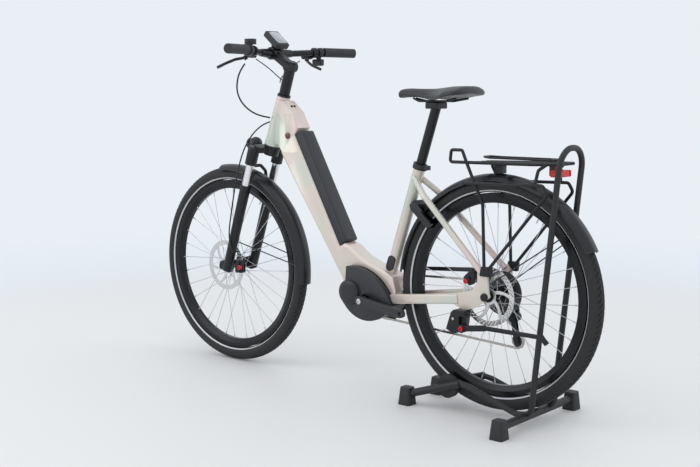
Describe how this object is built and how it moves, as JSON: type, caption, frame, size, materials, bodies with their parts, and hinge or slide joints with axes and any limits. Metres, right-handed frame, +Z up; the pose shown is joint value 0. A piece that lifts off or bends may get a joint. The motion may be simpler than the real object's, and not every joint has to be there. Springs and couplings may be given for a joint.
{
  "type": "electric bicycle on stand",
  "caption": "Step-through trekking e-bike with rack, mudguards and lights, held by its rear wheel in a tubular floor stand.",
  "frame": {"origin": "on the floor, midway between the two wheel axles, in the middle plane", "axes": "+X towards the rear of the bike, +Y towards its drive side, +Z up"},
  "size_m": [1.8658, 0.6398, 1.1994],
  "materials": {
    "frame_paint": "pearl gloss",
    "black_metal": "satin black",
    "stand_paint": "powder coat",
    "black_plastic": "moulded",
    "motor_casting": "cast, black",
    "chrome_stanchion": "polished",
    "tail_red": "clear red",
    "chain_steel": "oiled",
    "rotor_steel": "ground",
    "spoke_steel": "drawn",
    "rim_black": "anodised black",
    "tyre_rubber": "rubber",
    "saddle_vinyl": "black vinyl",
    "grip_rubber": "ribbed",
    "foot_rubber": "moulded",
    "cable_jacket": "smooth"
  },
  "bodies": {
    "frame": {"head_tube": "frame_paint", "down_tube": "frame_paint", "motor_bracket": "frame_paint", "seat_tube": "frame_paint", "seat_stays": "frame_paint", "chain_stays": "frame_paint", "frame_fittings": "black_plastic", "motor_unit": "motor_casting", "motor_covers": "black_plastic", "rear_mudguard": "black_plastic", "rear_rack": "black_metal", "tail_light": "tail_red", "rear_caliper": "black_metal", "chain": "chain_steel", "chain_guard": "black_plastic", "derailleur": "black_metal", "ring_lock": "black_metal", "kickstand_bracket": "black_metal", "rear_axle": "black_metal"},
    "battery_pack": {"battery": "black_plastic"},
    "saddle_post": {"seat_post": "black_metal", "saddle": "saddle_vinyl"},
    "rack_spring_clamp": {"rack_clamp": "black_metal"},
    "guide_wheel": {"guide_pulley": "black_plastic"},
    "tension_wheel": {"tension_pulley": "black_plastic"},
    "kick_leg": {"kickstand_leg": "black_metal"},
    "crankset": {"crank_arms": "black_metal", "chainring": "chain_steel"},
    "cassette_body": {"cassette": "chain_steel"},
    "rear_wheel": {"rear_tyre": "tyre_rubber", "rear_rim": "rim_black", "rear_spokes": "spoke_steel", "rear_hub": "black_metal", "rear_disc": "rotor_steel"},
    "steering": {"fork_crown": "chrome_stanchion", "stem": "black_metal", "handlebar": "black_metal", "grips": "grip_rubber", "display": "black_plastic", "bar_controls": "black_plastic", "brake_masters": "black_metal", "headlight": "black_plastic", "bar_cables": "cable_jacket"},
    "lever_left": {"brake_lever_left": "black_metal"},
    "lever_right": {"brake_lever_right": "black_metal"},
    "lower_fork": {"fork_lowers": "black_metal", "front_axle": "black_metal", "front_caliper": "black_metal", "front_mudguard": "black_plastic", "front_brake_hose": "cable_jacket"},
    "front_wheel": {"front_tyre": "tyre_rubber", "front_rim": "rim_black", "front_spokes": "spoke_steel", "front_hub": "black_metal", "front_disc": "rotor_steel"},
    "stand": {"stand_frame": "stand_paint", "stand_crossbar": "stand_paint", "stand_feet": "foot_rubber"},
    "roller_left": {"stand_roller_left": "foot_rubber"},
    "roller_right": {"stand_roller_right": "foot_rubber"}
  },
  "joints": [
    {"name": "steering_turn", "type": "hinge", "parent": "frame", "child": "steering", "pos_m": [-0.34596, 0, 0.88817], "axis": [0.309, 0, 0.9511], "range_deg": [-45, 45]},
    {"name": "fork_slide", "type": "slide", "parent": "steering", "child": "lower_fork", "axis": [0.309, 0, 0.9511], "range_m": [0, 0.05], "stiffness_N_per_m": 9000, "springref_m": -0.03},
    {"name": "front_wheel_spin", "type": "hinge", "parent": "lower_fork", "child": "front_wheel", "pos_m": [-0.575, 0, 0.358], "axis": [0, 1, 0], "continuous": true},
    {"name": "rear_wheel_spin", "type": "hinge", "parent": "frame", "child": "rear_wheel", "pos_m": [0.575, 0, 0.376], "axis": [0, 1, 0], "continuous": true},
    {"name": "crank_spin", "type": "hinge", "parent": "frame", "child": "crankset", "pos_m": [0.1, 0, 0.309], "axis": [0, 1, 0], "continuous": true},
    {"name": "cassette_spin", "type": "hinge", "parent": "frame", "child": "cassette_body", "pos_m": [0.575, 0, 0.376], "axis": [0, 1, 0], "continuous": true},
    {"name": "guide_pulley_spin", "type": "hinge", "parent": "frame", "child": "guide_wheel", "pos_m": [0.602, 0.052, 0.3], "axis": [0, 1, 0], "continuous": true},
    {"name": "tension_pulley_spin", "type": "hinge", "parent": "frame", "child": "tension_wheel", "pos_m": [0.616, 0.052, 0.228], "axis": [0, 1, 0], "continuous": true},
    {"name": "left_brake", "type": "hinge", "parent": "steering", "child": "lever_left", "pos_m": [-0.36186, -0.14243, 1.1045], "axis": [0, 0, 1], "range_deg": [-18, 0], "stiffness_Nm_per_rad": 0.3, "springref_deg": 5.73},
    {"name": "right_brake", "type": "hinge", "parent": "steering", "child": "lever_right", "pos_m": [-0.35464, 0.1589, 1.10536], "axis": [0, 0, 1], "range_deg": [0, 18], "stiffness_Nm_per_rad": 0.3, "springref_deg": -5.73},
    {"name": "saddle_height", "type": "slide", "parent": "frame", "child": "saddle_post", "axis": [0.309, 0, 0.9511], "range_m": [-0.06, 0.05]},
    {"name": "battery_lift", "type": "slide", "parent": "frame", "child": "battery_pack", "axis": [0.8736, 0, 0.4867], "range_m": [0, 0.12]},
    {"name": "rack_clamp_lift", "type": "hinge", "parent": "frame", "child": "rack_spring_clamp", "pos_m": [0.77, 0, 0.7925], "axis": [0, 1, 0], "range_deg": [0, 60], "stiffness_Nm_per_rad": 1.5, "springref_deg": -20.05},
    {"name": "kickstand_swing", "type": "hinge", "parent": "frame", "child": "kick_leg", "pos_m": [0.517, -0.1, 0.278], "axis": [0, 1, 0], "range_deg": [0, 80]},
    {"name": "stand_pull", "type": "slide", "parent": "frame", "child": "stand", "axis": [1, 0, 0], "range_m": [0, 0.5]},
    {"name": "roller_left_spin", "type": "hinge", "parent": "stand", "child": "roller_left", "pos_m": [0.424, -0.04, 0.072], "axis": [0, 1, 0], "continuous": true},
    {"name": "roller_right_spin", "type": "hinge", "parent": "stand", "child": "roller_right", "pos_m": [0.424, 0.04, 0.072], "axis": [0, 1, 0], "continuous": true}
  ],
  "couplings": [
    {"joint": "cassette_spin", "follows": "crank_spin", "ratio": 2.5333},
    {"joint": "guide_pulley_spin", "follows": "crank_spin", "ratio": -3.4545},
    {"joint": "tension_pulley_spin", "follows": "crank_spin", "ratio": 3.4545}
  ]
}
